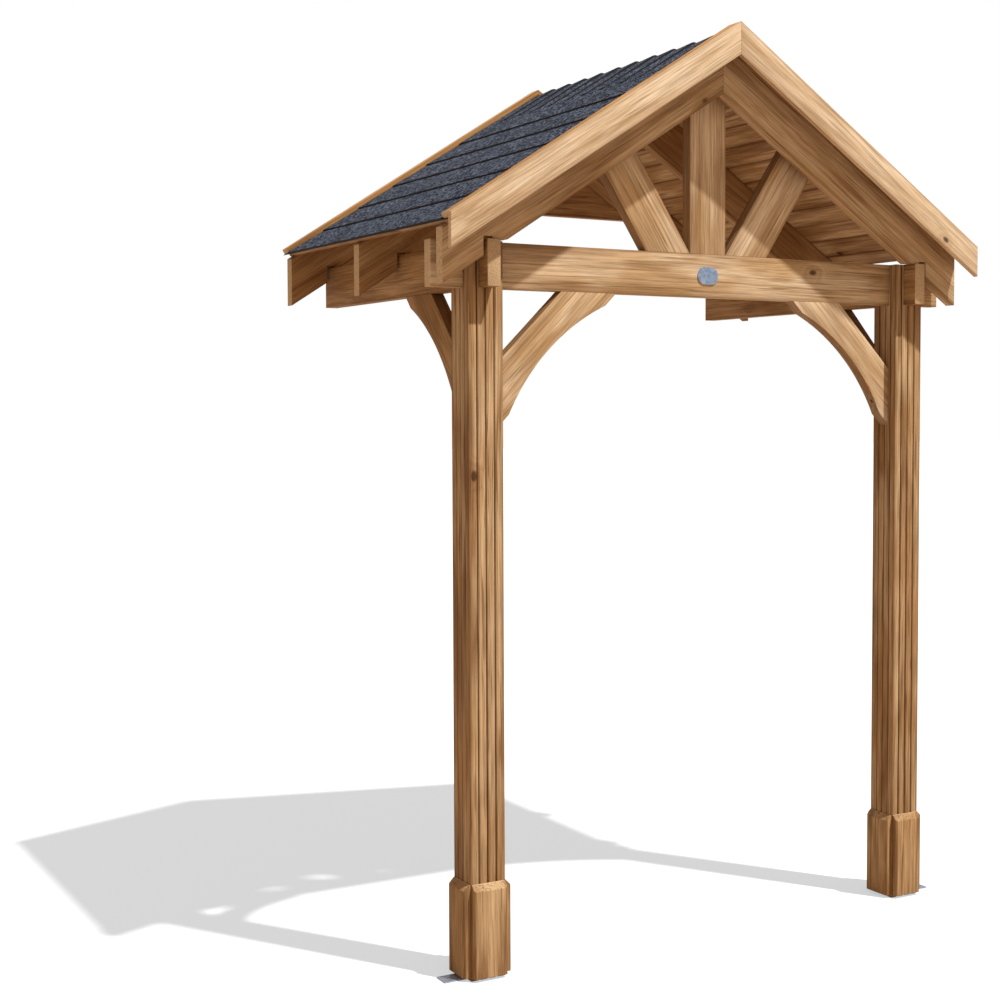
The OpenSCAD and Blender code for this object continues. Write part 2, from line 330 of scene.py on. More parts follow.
def copy_of(node, name):
    """Copy of a CAD node as one clean, merged mesh without materials."""
    only(frame["nodes"][node])
    bpy.ops.object.duplicate()
    piece = bpy.context.active_object
    bpy.ops.object.parent_clear(type="CLEAR_KEEP_TRANSFORM")
    piece.name = name
    piece.data.name = name
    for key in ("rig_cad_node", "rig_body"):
        if key in piece:
            del piece[key]
    piece.data.materials.clear()
    edit(piece, "VERT")
    bpy.ops.mesh.customdata_custom_splitnormals_clear()
    bpy.ops.mesh.select_all(action="SELECT")
    bpy.ops.mesh.remove_doubles(threshold=MERGE)
    bpy.ops.mesh.dissolve_limited(angle_limit=math.radians(0.4))
    face_out()
    close()
    return piece


def lay_on_slope(piece, left):
    """Turns a piece drawn flat, X down the slope and Z off the rafters, onto the right or left slope."""
    side = -1 if left else 1
    across, off = (side * DOWN.x, 0, side * OFF.x, 0), (DOWN.z, 0, OFF.z, RIDGE.z)
    piece.matrix_world = Matrix((across, (0, 1, 0, 0), off, (0, 0, 0, 1)))
    only(piece)
    settle()
    edit(piece, "FACE")
    face_out()
    close()


def grain(piece, along, thick, number, curved=False, stained=False):
    """Writes where each point of a board lay in its log: along it, across it and through it.

    The heart of the log lies a little behind the board, at a place that differs from board to board. The
    section of a straight board is written too, so that its edges can be told from its faces."""
    draw = random.Random(SEED + number)
    along, thick = Vector(along).normalized(), Vector(thick).normalized()
    across = thick.cross(along)
    places = [v.co.copy() for v in piece.data.vertices]
    centre = sum(places, Vector()) / len(places)
    start = Vector((draw.uniform(0, 60), draw.uniform(-0.035, 0.035), draw.uniform(0.05, 0.1)))
    end_grain = piece.data.attributes.new("end_grain", "FLOAT", "FACE")
    # faces across the board, its narrow sides, can be marked for painted shade, the shade that falls on them
    # under the roof
    dark = piece.data.attributes.new("stained", "FLOAT", "FACE")
    for face in piece.data.polygons:
        end_grain.data[face.index].value = 1.0 if abs(face.normal.dot(along)) > 0.75 else 0.0
        dark.data[face.index].value = 1.0 if stained and abs(face.normal.dot(across)) > 0.75 else 0.0
    log = piece.data.attributes.new("log", "FLOAT_VECTOR", "POINT")
    section = piece.data.attributes.new("section", "FLOAT_VECTOR", "POINT")
    half = piece.data.attributes.new("half", "FLOAT_VECTOR", "POINT")
    reach = Vector((1, 1, 1))
    if not curved:
        shift = Vector()
        for axis, way in enumerate((across, thick)):
            spans = [(p - centre).dot(way) for p in places]
            reach[axis] = (max(spans) - min(spans)) / 2
            shift += way * (max(spans) + min(spans)) / 2
        centre += shift
    for index, place in enumerate(places):
        away = place - centre
        log.data[index].vector = Vector((away.dot(along), away.dot(across), away.dot(thick))) + start
        section.data[index].vector = (away.dot(across), away.dot(thick), 0)
        half.data[index].vector = reach


def finish_piece(piece, material, slot, *nodes):
    """Gives a piece its material and its body, and hides the nodes it stands for; the slot is not used."""
    if material:
        piece.data.materials.clear()
        piece.data.materials.append(material)
    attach(piece, "root")
    if nodes:
        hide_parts(*nodes)


# ---- shader helpers


def put(tree, kind, settings=None, **inputs):
    """Adds a node with its settings and inputs."""
    node = tree.nodes.new(kind)
    for key, value in (settings or {}).items():
        setattr(node, key, value)
    return fill(tree, node, **inputs)


def fill(tree, node, **inputs):
    """Gives a node's inputs, named or numbered as in i0, a constant or the socket that feeds them."""
    for key, value in inputs.items():
        numbered = key[0] == "i" and key[1:].isdigit()
        feed(tree, node.inputs[int(key[1:]) if numbered else key.replace("_", " ")], value)
    return node


def feed(tree, socket, value):
    if isinstance(value, bpy.types.NodeSocket):
        tree.links.new(value, socket)
    elif socket.type == "RGBA" and len(value) == 3:
        socket.default_value = (*value, 1)
    else:
        socket.default_value = value


def maths(tree, operation, a, b=0.0):
    return put(tree, "ShaderNodeMath", {"operation": operation}, i0=a, i1=b).outputs[0]


def times(tree, a, b):
    return maths(tree, "MULTIPLY", a, b)


def vector_maths(tree, operation, **inputs):
    return put(tree, "ShaderNodeVectorMath", {"operation": operation}, **inputs).outputs


def stretch(tree, place, scale):
    return vector_maths(tree, "MULTIPLY", i0=place, i1=scale)[0]


def blend(tree, factor, a, b, mode="MIX"):
    node = put(tree, "ShaderNodeMix", {"data_type": "RGBA", "blend_type": mode, "clamp_factor": True})
    feed(tree, node.inputs["Factor"], factor)
    feed(tree, node.inputs[6], a)
    feed(tree, node.inputs[7], b)
    return node.outputs[2]


def ramp(tree, value, low, high, start=0.0, end=1.0):
    """Smooth step of value from low to high, as start to end."""
    kind = {"interpolation_type": "SMOOTHSTEP", "clamp": True}
    return put(tree, "ShaderNodeMapRange", kind, i0=value, i1=low, i2=high, i3=start, i4=end).outputs[0]


def noise(tree, place, detail=2.0, rough=0.5, scale=1.0, output="Fac"):
    node = put(tree, "ShaderNodeTexNoise", Vector=place, Scale=scale, Detail=detail, Roughness=rough)
    return node.outputs[output]


def bump(tree, strength, distance, height):
    return put(tree, "ShaderNodeBump", Strength=strength, Distance=distance, Height=height).outputs["Normal"]


def attribute(tree, name, output):
    source = put(tree, "ShaderNodeAttribute", {"attribute_type": "GEOMETRY", "attribute_name": name})
    return source.outputs[output]


def new_group(name, inputs, outputs):
    """Shader node group with sockets named by kind; returns it, its inner inputs and its result node."""
    group = bpy.data.node_groups.new(name, "ShaderNodeTree")
    for way, sockets in (("INPUT", inputs), ("OUTPUT", outputs)):
        for kind, labels in sockets.items():
            for label in labels:
                group.interface.new_socket(name=label, in_out=way, socket_type="NodeSocket" + kind)
    return group, group.nodes.new("NodeGroupInput").outputs, group.nodes.new("NodeGroupOutput")


def use_group(tree, name, **inputs):
    return put(tree, "ShaderNodeGroup", {"node_tree": bpy.data.node_groups[name]}, **inputs)


def new_material(name):
    material = bpy.data.materials.new(name)
    material.use_nodes = True
    return material, material.node_tree, material.node_tree.nodes["Principled BSDF"]


# ---- timber materials


TONES = ("Pale", "Body", "Streak", "Knot", "Cut")


def timber_figure():
    """Growth rings, streaks, fibre and knots of a board, read in the coordinates of its log."""
    group, given, result = new_group(
        "timber_figure",
        {
            "Vector": ("Log",),
            "Color": TONES,
            "Float": ("End Grain", "Ring Width", "Contrast", "Knottiness", "Edge", "Sunk", "Stained"),
        },
        {"Color": ("Color",), "Float": ("Roughness", "Height")},
    )
    log = given["Log"]
    # knots: one cell in a few holds one, long along the board
    cells = put(group, "ShaderNodeTexVoronoi", Vector=stretch(group, log, (0.6, 1.0, 0.6)), Scale=4.6)
    chance = put(group, "ShaderNodeSeparateColor", Color=cells.outputs["Color"]).outputs[0]
    has_knot = ramp(group, chance, maths(group, "SUBTRACT", 1.0, given["Knottiness"]), 1.0, 0.0, 1.0)
    has_knot = maths(group, "GREATER_THAN", has_knot, 0.001)
    away = cells.outputs["Distance"]
    eye = times(group, ramp(group, away, 0.035, 0.065, 0.85, 0.0), has_knot)
    halo = times(group, ramp(group, away, 0.05, 0.2, 1.0, 0.0), has_knot)
    # rings: distance from the heart of the log, pushed about slowly along the board and round knots
    wander = noise(group, stretch(group, log, (0.9, 6.0, 6.0)), output="Color")
    pushed = vector_maths(group, "MULTIPLY_ADD", i0=wander, i1=(0.0, 0.06, 0.06), i2=log)[0]
    radius = vector_maths(group, "LENGTH", i0=stretch(group, pushed, (0.0, 1.0, 1.0)))["Value"]
    radius = maths(group, "ADD", radius, times(group, halo, 0.014))
    turns = maths(group, "DIVIDE", radius, given["Ring Width"])
    part = maths(group, "FRACT", turns)
    late = times(group, ramp(group, part, 0.25, 0.86), ramp(group, part, 0.9, 1.0, 1.0, 0.0))
    # blotches, broad and narrow streaks and fine fibre, all drawn out along the board
    broad = noise(group, stretch(group, pushed, (2.0, 21.0, 21.0)))
    narrow = noise(group, stretch(group, pushed, (2.4, 75.0, 75.0)))
    hair = noise(group, stretch(group, pushed, (1.6, 190.0, 190.0)), 1.0)
    cloud = noise(group, stretch(group, log, (3.0, 10.0, 10.0)))
    fibre = noise(group, stretch(group, log, (6.0, 210.0, 210.0)), 3.0, 0.7)
    contrast = given["Contrast"]
    streak, knot = given["Streak"], given["Knot"]
    # stain gathers along the edges; the narrow sides of some pieces and the grooves get painted shade
    ragged = maths(group, "ADD", given["Edge"], times(group, cloud, 0.012))
    tone = blend(group, ramp(group, cloud, 0.36, 0.66), given["Pale"], given["Body"])
    for share, colour in (
        (times(group, ramp(group, broad, 0.48, 0.7), contrast), streak),
        (times(group, ramp(group, narrow, 0.56, 0.72), contrast), streak),
        (times(group, late, times(group, contrast, 0.3)), streak),
        (times(group, ramp(group, hair, 0.62, 0.72), 0.8), streak),
        (times(group, halo, 0.35), streak),
        (ramp(group, ragged, 0.005, 0.019, 0.6, 0.0), streak),
        # painted shade on the marked narrow sides
        (times(group, given["Stained"], 0.75), blend(group, 0.35, streak, knot)),
        (eye, knot),
        (times(group, given["End Grain"], 0.75), given["Cut"]),
        # painted shade in the grooves of the posts, darker the deeper a point lies below the faces
        (ramp(group, given["Sunk"], 1.2 * MM, 4.5 * MM, 0.0, 0.85), knot),
    ):
        tone = blend(group, share, tone, colour)
    shade = ramp(group, fibre, 0.34, 0.62, 0.76, 1.14)
    grey = put(group, "ShaderNodeCombineColor", i0=shade, i1=shade, i2=shade).outputs[0]
    tone = blend(group, 1.0, tone, grey, "MULTIPLY")
    height = maths(group, "ADD", times(group, fibre, 0.5), times(group, late, 0.5))
    fill(group, result, Color=tone, Roughness=ramp(group, fibre, 0.2, 0.8, 0.62, 0.48), Height=height)


def timber(name, tones, ring, contrast, knottiness, grooved):
    """Planed softwood in its five tones."""
    _, tree, shader = new_material(name)
    section, half = (attribute(tree, name, "Vector") for name in ("section", "half"))
    spread = vector_maths(tree, "ABSOLUTE", i0=section)[0]
    inset = vector_maths(tree, "SUBTRACT", i0=half, i1=spread)[0]
    parts = put(tree, "ShaderNodeSeparateXYZ", Vector=inset).outputs
    figure = use_group(
        tree,
        "timber_figure",
        Log=attribute(tree, "log", "Vector"),
        End_Grain=attribute(tree, "end_grain", "Fac"),
        # painted shade on the narrow sides that grain() marks
        Stained=attribute(tree, "stained", "Fac"),
        Edge=maths(tree, "MAXIMUM", parts[0], parts[1]),
        # depth below the faces, for the painted shade in the grooves
        Sunk=times(tree, maths(tree, "MINIMUM", parts[0], parts[1]), grooved),
        Ring_Width=ring,
        Contrast=contrast,
        Knottiness=knottiness,
        **dict(zip(TONES, tones)),
    ).outputs
    normal = bump(tree, 0.35, 0.6 * MM, figure["Height"])
    fill(tree, shader, Base_Color=figure["Color"], Roughness=figure["Roughness"], Normal=normal)
    fill(tree, shader, Specular_IOR_Level=0.12)


def between(a, b, share):
    return tuple(x + (y - x) * share for x, y in zip(a, b))


def timber_materials(settings):
    """The finishes of the canopy's timbers: pale, body and streak colours, contrast and knottiness."""
    s = settings
    umber, russet = s.umber, s.russet

    def creamy(share):
        return between(s.cream, s.honey, share)

    def sandy(share):
        return between(s.honey, s.amber, share)

    def nutty(share):
        return between(s.amber, russet, share)

    kinds = {
        "barge": (s.cream, creamy(0.35), sandy(0.6), 0.6, 0.3),
        "frame": (creamy(0.2), s.honey, nutty(0.3), 0.6, 0.5),
        "beam": (creamy(0.35), sandy(0.15), nutty(0.5), 0.65, 0.6),
        "rafter": (creamy(0.7), sandy(0.2), nutty(0.7), 0.6, 0.7),
        "post": (creamy(0.9), sandy(0.8), russet, 0.7, 0.9),
        "plinth": (s.honey, sandy(0.7), russet, 0.65, 0.5),
        "plate": (sandy(0.6), nutty(0.2), russet, 0.6, 0.6),
        "roof_board": (creamy(0.9), sandy(0.8), russet, 0.7, 0.8),
        "verge": (s.orange, between(s.orange, s.amber, 0.4), russet, 0.4, 0.2),
    }
    for name, (pale, body, streak, contrast, knots) in kinds.items():
        tones = (pale, body, streak, umber, creamy(0.7))
        timber(f"{name}_timber", tones, s.ring, contrast, knots, float(name == "post"))


# ---- roof and metal materials


def mineral_granules():
    """Speckle of pressed mineral granules."""
    inputs = {"Vector": ("Place",), "Color": ("Body", "Light", "Dark")}
    outputs = {"Color": ("Color",), "Float": ("Height",)}
    group, given, result = new_group("mineral_granules", inputs, outputs)
    place = given["Place"]
    grains = put(group, "ShaderNodeTexVoronoi", Vector=place, Scale=135.0)
    pick_grain = put(group, "ShaderNodeSeparateColor", Color=grains.outputs["Color"]).outputs[0]
    clumps = noise(group, place, 3.0, 0.75, 120.0)
    drift = noise(group, place, 2.0, 0.5, 5.0)
    mixed = maths(group, "ADD", times(group, pick_grain, 0.75), times(group, clumps, 0.25))
    tone = blend(group, ramp(group, mixed, 0.6, 0.72), given["Body"], given["Light"])
    tone = blend(group, ramp(group, mixed, 0.4, 0.3), tone, given["Dark"])
    tone = blend(group, ramp(group, drift, 0.3, 0.7, 0.0, 0.3), tone, given["Body"])
    fill(group, result, Color=tone, Height=maths(group, "SUBTRACT", 1.0, grains.outputs["Distance"]))


def shingle_material(settings):
    _, tree, shader = new_material("shingle_granules")
    place = put(tree, "ShaderNodeTexCoord").outputs["Object"]
    tones = {"Body": settings.granule, "Light": settings.granule_light, "Dark": settings.granule_dark}
    grains = use_group(tree, "mineral_granules", Place=place, **tones).outputs
    normal = bump(tree, 0.5, 0.8 * MM, grains["Height"])
    fill(tree, shader, Base_Color=grains["Color"], Normal=normal, Roughness=0.85, Specular_IOR_Level=0.2)


def felt_material():
    """Black bitumen felt, dull, with a faint pressed texture."""
    _, tree, shader = new_material("bitumen_felt")
    place = put(tree, "ShaderNodeTexCoord").outputs["Object"]
    spots = noise(tree, place, 4.0, 0.6, 260.0)
    tone = blend(tree, ramp(tree, spots, 0.35, 0.7), (0.004, 0.004, 0.006), (0.014, 0.014, 0.018))
    rough = ramp(tree, spots, 0.3, 0.7, 0.7, 0.9)
    fill(tree, shader, Base_Color=tone, Roughness=rough, Normal=bump(tree, 0.4, 0.5 * MM, spots))


def metal(name, tone, bright, rough, spangle):
    """Dull metal with a spangle or a fine blast, brighter and darker in patches."""
    _, tree, shader = new_material(name)
    place = put(tree, "ShaderNodeTexCoord").outputs["Object"]
    flakes = put(tree, "ShaderNodeTexVoronoi", Vector=place, Scale=spangle)
    pick_flake = put(tree, "ShaderNodeSeparateColor", Color=flakes.outputs["Color"]).outputs[0]
    dust = noise(tree, place, 4.0, 0.6, 60.0)
    shade = blend(tree, times(tree, pick_flake, 0.5), tone, bright)
    shade = blend(tree, ramp(tree, dust, 0.5, 0.8, 0.0, 0.4), shade, between(tone, (0.2, 0.2, 0.2), 0.5))
    rough = ramp(tree, dust, 0.3, 0.7, rough, rough + 0.18)
    normal = bump(tree, 0.15, 0.3 * MM, pick_flake)
    fill(tree, shader, Base_Color=shade, Roughness=rough, Normal=normal, Metallic=0.8)


def finish(name):
    """Material that the materials operator made."""
    return bpy.data.materials[name]


# ---- operators


class PORCH_OT_stage(bpy.types.Operator):
    """Floor, soft studio light and camera"""

    bl_idname = "porch.stage"
    bl_label = "Stage"

    def execute(self, context):
        s = context.scene.porch_stage
        scene = context.scene
        scene.view_settings.view_transform = "Standard"
        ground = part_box("post_left")[0].z
        reach, thick = 60.0, 0.05
        floor = block("floor", (-reach, -reach, ground - thick), (reach, reach, ground))
        material, tree, shader = new_material("pale_floor")
        seen = put(tree, "ShaderNodeLightPath").outputs["Is Camera Ray"]
        # grey to the camera, but the light it sends back is warm
        warm = (s.floor, 0.8 * s.floor, 0.65 * s.floor, 1)
        tone = blend(tree, seen, warm, (s.floor, s.floor, s.floor, 1))
        fill(tree, shader, Base_Color=tone, Roughness=0.95, Specular_IOR_Level=0.0)
        fill(tree, shader, Emission_Color=(0.858, 0.94, 1, 1), Emission_Strength=times(tree, seen, s.glow))
        floor.data.materials.append(material)

        world = bpy.data.worlds.new("studio")
        world.use_nodes = True
        scene.world = world
        tree = world.node_tree
        tree.nodes.clear()
        seen = put(tree, "ShaderNodeLightPath").outputs["Is Camera Ray"]
        soft = put(tree, "ShaderNodeBackground", Color=(1.0, 0.78, 0.62), Strength=s.sky)
        backdrop = put(tree, "ShaderNodeBackground", Color=(1.0, 1.0, 1.0), Strength=1.0)
        either = put(tree, "ShaderNodeMixShader", i0=seen, i1=soft.outputs[0], i2=backdrop.outputs[0])
        put(tree, "ShaderNodeOutputWorld", Surface=either.outputs[0])

        key = added("key_light", bpy.ops.object.light_add, type="SUN")
        key.data.energy = s.sun
        key.data.angle = s.softness
        key.data.color = (1.0, 1.0, 1.0)
        key.rotation_mode = "QUATERNION"
        key.rotation_quaternion = Vector(s.key).to_track_quat("-Z", "Y")

        turned = (math.pi / 2 - s.tilt, 0, -s.turn)
        camera = added("Camera", bpy.ops.object.camera_add, location=s.eye, rotation=turned)
        camera.data.sensor_width = 36.0
        camera.data.lens = s.lens
        camera.data.shift_x = s.shift_x
        camera.data.shift_y = s.shift_y
        camera.data.clip_end = 200.0
        scene.camera = camera
        return {"FINISHED"}


class PORCH_OT_materials(bpy.types.Operator):
    """Timber, shingle, felt and metal finishes"""

    bl_idname = "porch.materials"
    bl_label = "Materials"

    def execute(self, context):
        timber_figure()
        mineral_granules()
        timber_materials(context.scene.porch_timber)
        shingle_material(context.scene.porch_roof)
        felt_material()
        s = context.scene.porch_metal
        metal("galvanised_steel", s.zinc, (0.62, 0.70, 0.80), 0.35, 160.0)
        metal("satin_plate", s.plate, (0.75, 0.95, 1.0), 0.28, 110.0)
        metal("screw_steel", (0.014, 0.014, 0.016), (0.04, 0.04, 0.04), 0.45, 500.0)
        return {"FINISHED"}


def dress(context, node, along, thick, material, slot, number, stained=False):
    """Planed copy of a timber node with eased edges and its own grain, and painted shade on its narrow sides
    where asked.
    """
    piece = copy_of(node, node + "_timber")
    ease_edges(piece, context.scene.porch_timber.ease)
    grain(piece, along, thick, number, stained=stained)
    smooth(piece)
    finish_piece(piece, finish(material), slot, node)
    return piece


SIDES = ((-1, "left"), (1, "right"))


class PORCH_OT_posts(bpy.types.Operator):
    """Grooved posts and the boards of their plinths"""

    bl_idname = "porch.posts"
    bl_label = "Posts and Plinths"

    def execute(self, context):
        for number, (_, hand) in enumerate(SIDES):
            dress(context, f"post_{hand}", UP, INWARDS, "post_timber", "timber", number)
            faces = {"front": INWARDS, "back": INWARDS, "outer": SIDEWAYS, "inner": SIDEWAYS}
            for count, (face, thick) in enumerate(faces.items()):
                node = f"plinth_{hand}_{face}"
                dress(context, node, UP, thick, "plinth_timber", "timber", 10 + 4 * number + count)
        return {"FINISHED"}


class PORCH_OT_beams(bpy.types.Operator):
    """Tie beam, side plates and wall board"""

    bl_idname = "porch.beams"
    bl_label = "Beams"

    def execute(self, context):
        dress(context, "tie_beam", SIDEWAYS, INWARDS, "beam_timber", "timber", 20)
        dress(context, "wall_board", SIDEWAYS, INWARDS, "plate_timber", "timber_dark", 21)
        for number, (_, hand) in enumerate(SIDES):
            node = f"side_plate_{hand}"
            dress(context, node, INWARDS, SIDEWAYS, "plate_timber", "timber_dark", 22 + number)
        return {"FINISHED"}


def sunk_screw(context, piece, hand, front):
    """Drills the sunk hole low in the hollow edge of a brace and returns the screw head in it."""
    s = context.scene.porch_timber
    clear, head_high, head_deep = 30, 4, 6  # millimetres: cutter's reach, screw head's height and depth
    places = [v.co.copy() for v in piece.data.vertices]
    low = Vector([min(p[k] for p in places) for k in range(3)])
    high = Vector([max(p[k] for p in places) for k in range(3)])
    # direction along the brace, up and away from its post, and the direction out of its hollow edge
    away = Vector(((1 if hand == "left" else -1), 0, 0)) if front else INWARDS
    along, out = (away + UP).normalized(), (away - UP).normalized()
    reach = (high - low).dot(UP) / math.sqrt(0.5) / 2
    inside = (low + high) / 2 - along * (reach - s.hole_edge)
    edge = max(p.dot(out) for p in places if abs((p - inside).dot(along)) < clear * MM) - inside.dot(out)
    mouth = inside + out * edge
    cutter = rod("cutter", mouth + out * clear * MM, mouth - out * s.hole_depth, s.hole)
    only(piece)
    cut = piece.modifiers.new("hole", "BOOLEAN")
    cut.operation = "DIFFERENCE"
    cut.object = cutter
    cut.solver = "EXACT"
    bpy.ops.object.modifier_apply(modifier=cut.name)
    bpy.data.objects.remove(cutter)
    top = mouth - out * (s.hole_depth - head_high * MM)
    head = rod("screw_head", top, top - out * head_deep * MM, s.hole * 0.9)
    ease_edges(head, 0.8 * MM)
    return head


class PORCH_OT_braces(bpy.types.Operator):
    """Curved braces with their sunk screws"""

    bl_idname = "porch.braces"
    bl_label = "Braces"

    def execute(self, context):
        heads = []
        for number, (side, hand) in enumerate(SIDES):
            for front in (True, False):
                node = f"{'front' if front else 'side'}_brace_{hand}"
                piece = copy_of(node, node + "_timber")
                ease_edges(piece, context.scene.porch_timber.ease)
                heads.append(sunk_screw(context, piece, hand, front))
                away = Vector((-side, 0, 0)) if front else INWARDS
                # the upper and hollow edges of a brace get painted shade
                grain(piece, away + UP, INWARDS if front else SIDEWAYS, 30 + 2 * number + front, True, True)
                smooth(piece)
                material, slot = ("frame_timber", "timber") if front else ("plate_timber", "timber_dark")
                finish_piece(piece, finish(material), slot, node)
        screws = joined("brace_screws", heads)
        smooth(screws)
        finish_piece(screws, finish("screw_steel"), "zinc_steel")
        return {"FINISHED"}


class PORCH_OT_gable(bpy.types.Operator):
    """King post and struts of the gable"""

    bl_idname = "porch.gable"
    bl_label = "Gable Frame"

    def execute(self, context):
        # the narrow sides of the king post and struts get painted shade, the shade inside the gable
        dress(context, "king_post", UP, INWARDS, "frame_timber", "timber", 40, True)
        for number, (side, hand) in enumerate(SIDES):
            along = Vector((side * OFF.x, 0, OFF.z))
            dress(context, f"strut_{hand}", along, INWARDS, "frame_timber", "timber", 41 + number, True)
        return {"FINISHED"}


class PORCH_OT_rafters(bpy.types.Operator):
    """Three pairs of rafters"""

    bl_idname = "porch.rafters"
    bl_label = "Rafters"

    def execute(self, context):
        for count, row in enumerate(("front", "mid", "rear")):
            for number, (side, hand) in enumerate(SIDES):
                along = Vector((side * DOWN.x, 0, DOWN.z))
                look = ("rafter_timber", "timber") if row == "front" else ("plate_timber", "timber_dark")
                dress(context, f"rafter_{row}_{hand}", along, INWARDS, *look, 50 + 2 * count + number)
        return {"FINISHED"}


class PORCH_OT_shade_blocks(bpy.types.Operator):
    """Dark blocks in the reliefs over the seats of the rafters: painted shade that closes those gaps"""

    bl_idname = "porch.packers"
    bl_label = "Seat Shades"

    def execute(self, context):
        s = context.scene.porch_timber
        for number, (side, hand) in enumerate(SIDES):
            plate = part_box(f"side_plate_{hand}")
            face = plate[1].x if side > 0 else plate[0].x
            reach = sorted((face - side * s.relief_reach, face + side * s.heel))
            packers = []
            for count, row in enumerate(("front", "mid", "rear")):
                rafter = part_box(f"rafter_{row}_{hand}")
                low = (reach[0], rafter[0].y + s.recess, plate[1].z)
                high = (reach[1], rafter[1].y - s.recess, plate[1].z + s.relief)
                # a dark block fills the relief, painted shade in place of the see-through gap
                shade_block = block("shade_block", low, high)
                ease_edges(shade_block, 0.5 * MM, 1)
                # painted shade on its front and back faces
                grain(shade_block, SIDEWAYS, UP, 80 + 3 * number + count, stained=True)
                packers.append(shade_block)
            piece = joined(f"seat_packers_{hand}", packers)
            finish_piece(piece, finish("roof_board_timber"), "timber_dark")
        return {"FINISHED"}


class PORCH_OT_edges(bpy.types.Operator):
    """Barge boards and verge battens"""

    bl_idname = "porch.edges"
    bl_label = "Barge Boards and Verges"

    def execute(self, context):
        for number, (side, hand) in enumerate(SIDES):
            along = Vector((side * DOWN.x, 0, DOWN.z))
            across = Vector((side * OFF.x, 0, OFF.z))
            dress(context, f"barge_{hand}", along, INWARDS, "barge_timber", "timber", 60 + number)
            for count, row in enumerate(("front", "rear")):
                node = f"verge_{row}_{hand}"
                dress(context, node, along, across, "verge_timber", "timber", 62 + 2 * number + count)
        return {"FINISHED"}


class PORCH_OT_roof_boards(bpy.types.Operator):
    """Roof boards with vee joints below"""

    bl_idname = "porch.roof_boards"
    bl_label = "Roof Boards"

    def execute(self, context):
        s = context.scene.porch_roof
        front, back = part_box("deck_right")[0].y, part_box("deck_right")[1].y
        end, top = slope_range("deck_right")[1], slope_range("deck_right")[3]
        joints = [0.0]
        joint = s.first_joint
        while joint < end - 0.2 * s.board_cover:
            joints.append(joint)
            joint += s.board_cover
        joints.append(end)
        for number, (side, hand) in enumerate(SIDES):
            boards = []
            for count, (near, far) in enumerate(zip(joints, joints[1:])):
                boards.append(self.board(s, near, far, front, back, top, 100 * (1 + number) + count))
            piece = joined(f"roof_boards_{hand}", boards)
            lay_on_slope(piece, side < 0)
            smooth(piece)
            finish_piece(piece, finish("roof_board_timber"), "roof_boards", f"deck_{hand}")
        return {"FINISHED"}

    def board(self, s, near, far, front, back, top, number):
        """One board drawn flat; the topmost is cut plumb at the ridge."""
        gap = s.board_gap / 2
        low_edge = near if near == 0 else near + gap
        piece = block("board", (low_edge, front, 0), (far - gap, back, top))
        if near == 0:
            mesh = edit(piece, "VERT")
            pick(piece, mesh.verts, lambda v: v.co.x < gap and v.co.z > top / 2)
            bpy.ops.transform.translate(value=(-top * math.tan(PITCH), 0, 0))
            close()
        mesh = edit(piece)
        lower = lambda e: all(v.co.z < gap for v in e.verts) and abs(e.verts[0].co.x - e.verts[1].co.x) < gap
        pick(piece, mesh.edges, lambda e: lower(e) and (near > 0 or e.verts[0].co.x > gap))
        bpy.ops.mesh.bevel(offset=s.board_vee, segments=1, affect="EDGES")
        pick(piece, mesh.edges, lambda e: sharp(e, math.radians(60)))
        bpy.ops.mesh.bevel(offset=0.4 * MM, segments=1, affect="EDGES")
        close()
        grain(piece, INWARDS, UP, number)
        return piece


def granules_above(piece, least):
    """Granules on the faces that look up more than least, and bare bitumen on the others."""
    piece.data.materials.append(finish("shingle_granules"))
    piece.data.materials.append(finish("bitumen_felt"))
    for face in piece.data.polygons:
        face.material_index = 0 if face.normal.z > least else 1


